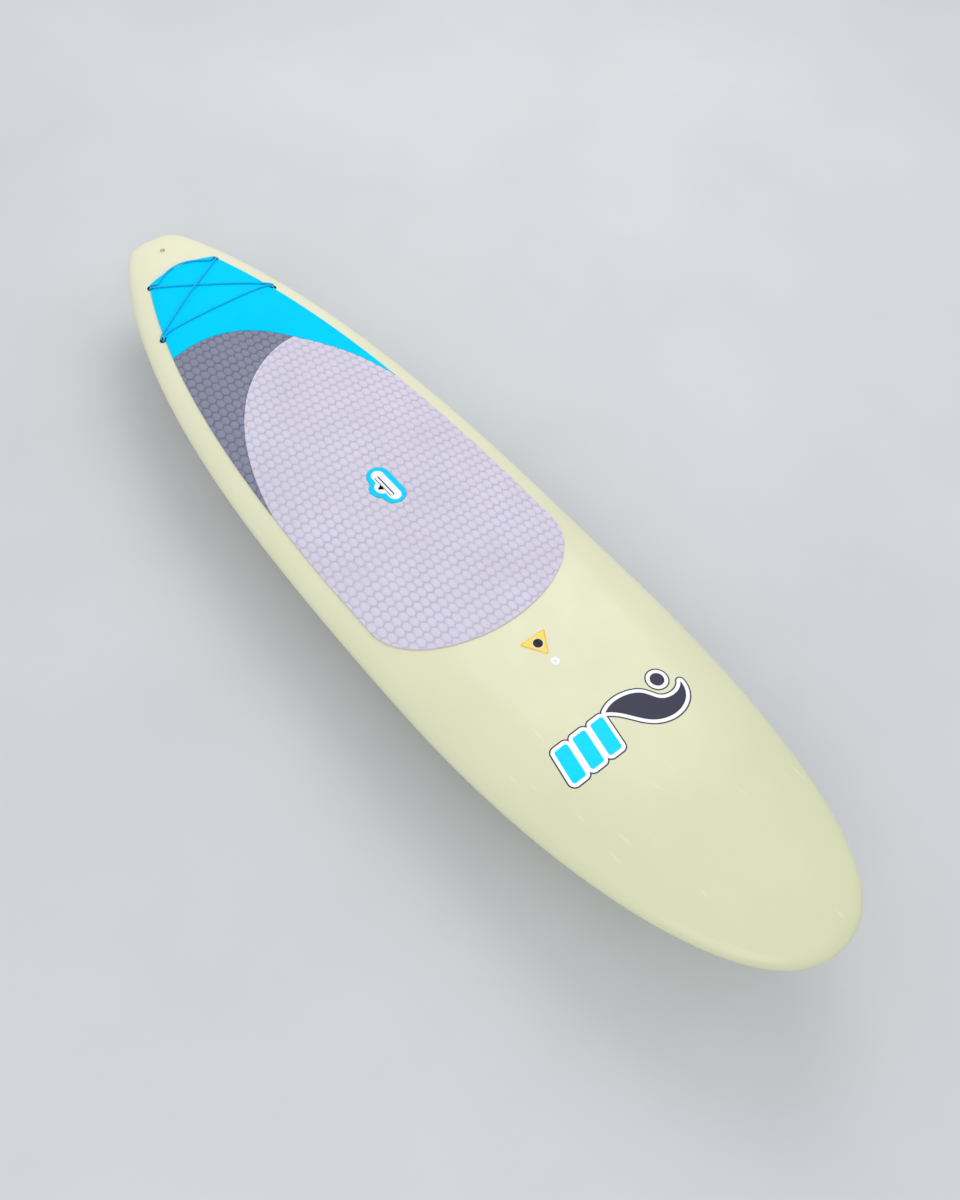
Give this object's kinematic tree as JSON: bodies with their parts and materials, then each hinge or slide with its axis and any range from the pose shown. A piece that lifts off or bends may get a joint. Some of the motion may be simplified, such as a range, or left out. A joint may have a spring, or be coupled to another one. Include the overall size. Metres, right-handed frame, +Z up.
{
  "type": "stand up paddleboard",
  "caption": "Rigid stand up paddleboard with foam deck pads, recessed carry handle, cargo bungee, air vent, leash plug and a sliding centre fin.",
  "frame": {"origin": "on the planed flat of the hull, on the centre line, half way along the board", "axes": "+X to the nose, +Y to port, +Z up out of the deck"},
  "size_m": [3.2, 0.8376, 0.4004],
  "materials": {
    "board_paint": "satin",
    "core_foam": "matte",
    "stringer_wood": "satin",
    "dense_foam": "matte",
    "pad_light": "matte",
    "pad_dark": "matte",
    "pad_cyan": "matte",
    "white_plastic": "satin",
    "cyan_trim": "satin",
    "pale_plastic": "satin",
    "dark_plastic": "satin",
    "black_plastic": "satin",
    "seal_rubber": "matte",
    "yellow_vinyl": "gloss",
    "membrane": "matte",
    "steel": "brushed",
    "cord": "woven",
    "fin_resin": "gloss",
    "brass_pin": "satin",
    "white_vinyl": "gloss",
    "navy_vinyl": "gloss",
    "cyan_vinyl": "gloss"
  },
  "bodies": {
    "board": {"breather_housing": "white_plastic", "breather_membrane": "membrane", "bungee_cord": "cord", "bungee_plug_bars": "steel", "bungee_plugs": "black_plastic", "deck_skin": "board_paint", "fin_box": "black_plastic", "fin_foam_block": "dense_foam", "foam_core_port": "core_foam", "foam_core_starboard": "core_foam", "graphic_cyan": "cyan_vinyl", "graphic_ground": "white_vinyl", "graphic_navy": "navy_vinyl", "graphic_outline": "navy_vinyl", "handle_cup": "dark_plastic", "handle_foam_block": "dense_foam", "handle_grip_bar": "white_plastic", "handle_plate": "white_plastic", "handle_trim": "cyan_trim", "hull_skin": "board_paint", "leash_plug": "pale_plastic", "leash_plug_bar": "pale_plastic", "pad_cyan": "pad_cyan", "pad_dark": "pad_dark", "pad_light": "pad_light", "plug_foam_block": "dense_foam", "stringer": "stringer_wood", "vent_foam_block": "dense_foam", "vent_housing": "pale_plastic", "vent_triangle": "yellow_vinyl"},
    "fin": {"fin": "fin_resin", "fin_cross_pin": "brass_pin"},
    "fin_screw": {"fin_screw": "steel"},
    "fin_nut": {"fin_nut_plate": "steel"},
    "vent_seal": {"vent_o_ring": "seal_rubber"},
    "vent_screw": {"vent_screw": "black_plastic"}
  },
  "joints": [
    {"name": "fin_slide", "type": "slide", "parent": "board", "child": "fin", "axis": [0.9979, 0, -0.0647], "range_m": [-0.036, 0.036]},
    {"name": "fin_screw_turn", "type": "hinge", "parent": "fin", "child": "fin_screw", "pos_m": [-1.04714, 0, 0.01879], "axis": [-0.0647, 0, -0.9979], "range_deg": [0, 720]},
    {"name": "fin_nut_travel", "type": "slide", "parent": "fin", "child": "fin_nut", "axis": [0.0647, 0, 0.9979], "range_m": [0, 0.0014]},
    {"name": "vent_seal_lift", "type": "slide", "parent": "board", "child": "vent_seal", "axis": [-0.0364, 0, 0.9993], "range_m": [0, 0.005]},
    {"name": "vent_screw_turn", "type": "hinge", "parent": "vent_seal", "child": "vent_screw", "pos_m": [0.46599, 0, 0.12403], "axis": [-0.0364, 0, 0.9993], "range_deg": [0, 1440]}
  ],
  "couplings": [
    {"joint": "fin_screw_turn", "follows": "fin_nut_travel", "rad_per_m": 8975.9},
    {"joint": "vent_screw_turn", "follows": "vent_seal_lift", "rad_per_m": 5026.5}
  ]
}
